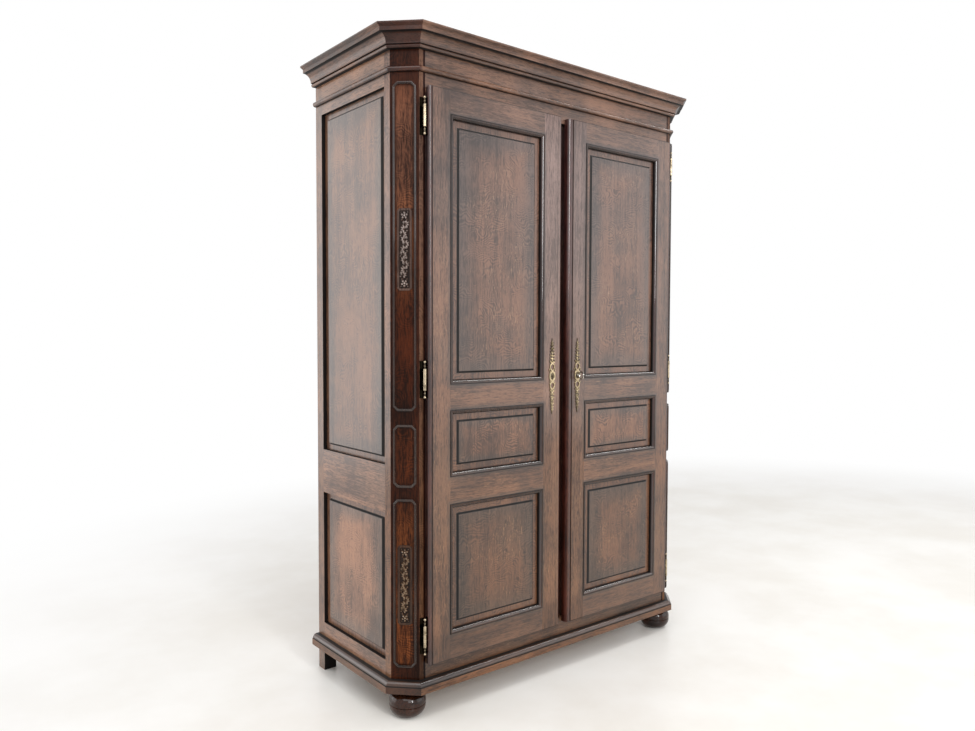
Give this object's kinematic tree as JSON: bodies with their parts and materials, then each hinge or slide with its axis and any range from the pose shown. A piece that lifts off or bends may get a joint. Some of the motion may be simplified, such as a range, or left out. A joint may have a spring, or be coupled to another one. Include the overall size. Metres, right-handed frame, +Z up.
{
  "type": "kas cupboard",
  "caption": "Tall oak linen cupboard with canted carved corner posts, moulded crown, raised-panel hinged doors, brass lift-off hinges and long keyhole plates, bun feet and shelves inside.",
  "frame": {"origin": "on the floor, under the middle of the overall box", "axes": "+X to the right as seen from the front, +Y to the back, +Z up"},
  "size_m": [1.355, 0.575, 2],
  "materials": {
    "stained_oak": "dark stain, waxed",
    "panel_oak": "dark stain, waxed, figured",
    "dark_oak": "darker stain, polished",
    "inside_oak": "plain, unstained",
    "antique_brass": "aged",
    "lock_iron": "dull"
  },
  "bodies": {
    "case": {"back_boards": "inside_oak", "back_rails": "inside_oak", "base_corners": "stained_oak", "base_front": "stained_oak", "bottom_board": "inside_oak", "centre_stile": "stained_oak", "crown_corners": "stained_oak", "crown_front": "stained_oak", "door_stops": "inside_oak", "front_bottom_rail": "stained_oak", "front_top_rail": "stained_oak", "left_base_side": "stained_oak", "left_bun_foot": "dark_oak", "left_case_hinges": "antique_brass", "left_corner_post": "dark_oak", "left_crown_side": "stained_oak", "left_post_carvings": "dark_oak", "left_post_frames": "dark_oak", "left_rear_stile": "stained_oak", "left_side_lower_panel": "panel_oak", "left_side_rails": "stained_oak", "left_side_upper_panel": "panel_oak", "neck_bead": "stained_oak", "right_base_side": "stained_oak", "right_bun_foot": "dark_oak", "right_case_hinges": "antique_brass", "right_corner_post": "dark_oak", "right_crown_side": "stained_oak", "right_post_carvings": "dark_oak", "right_post_frames": "dark_oak", "right_rear_stile": "stained_oak", "right_side_lower_panel": "panel_oak", "right_side_rails": "stained_oak", "right_side_upper_panel": "panel_oak", "shelf_cleats": "inside_oak", "shelves": "inside_oak", "top_board": "inside_oak"},
    "left_door": {"left_door_hinge_stile": "stained_oak", "left_door_hinges": "antique_brass", "left_door_lock_stile": "stained_oak", "left_door_lower_panel": "panel_oak", "left_door_middle_panel": "panel_oak", "left_door_mouldings": "stained_oak", "left_door_rails": "stained_oak", "left_door_upper_panel": "panel_oak", "left_escutcheon": "antique_brass", "left_lock_case": "lock_iron"},
    "right_door": {"right_door_hinge_stile": "stained_oak", "right_door_hinges": "antique_brass", "right_door_lock_stile": "stained_oak", "right_door_lower_panel": "panel_oak", "right_door_middle_panel": "panel_oak", "right_door_mouldings": "stained_oak", "right_door_rails": "stained_oak", "right_door_upper_panel": "panel_oak", "right_escutcheon": "antique_brass", "right_lock_case": "lock_iron"},
    "left_bolt": {"left_lock_bolt": "lock_iron"},
    "right_bolt": {"right_lock_bolt": "lock_iron"},
    "key": {"key": "lock_iron"}
  },
  "joints": [
    {"name": "left_door_swing", "type": "hinge", "parent": "case", "child": "left_door", "pos_m": [-0.5525, -0.246, 1], "axis": [0, 0, -1], "range_deg": [0, 115]},
    {"name": "right_door_swing", "type": "hinge", "parent": "case", "child": "right_door", "pos_m": [0.5525, -0.246, 1], "axis": [0, 0, 1], "range_deg": [0, 115]},
    {"name": "left_bolt_slide", "type": "slide", "parent": "left_door", "child": "left_bolt", "axis": [1, 0, 0], "range_m": [0, 0.012]},
    {"name": "right_bolt_slide", "type": "slide", "parent": "right_door", "child": "right_bolt", "axis": [-1, 0, 0], "range_m": [0, 0.012]},
    {"name": "key_turn", "type": "hinge", "parent": "right_door", "child": "key", "pos_m": [0.058, -0.2525, 0.994], "axis": [0, -1, 0], "range_deg": [0, 180]}
  ],
  "couplings": [
    {"joint": "key_turn", "follows": "right_bolt_slide", "rad_per_m": 261.79}
  ]
}
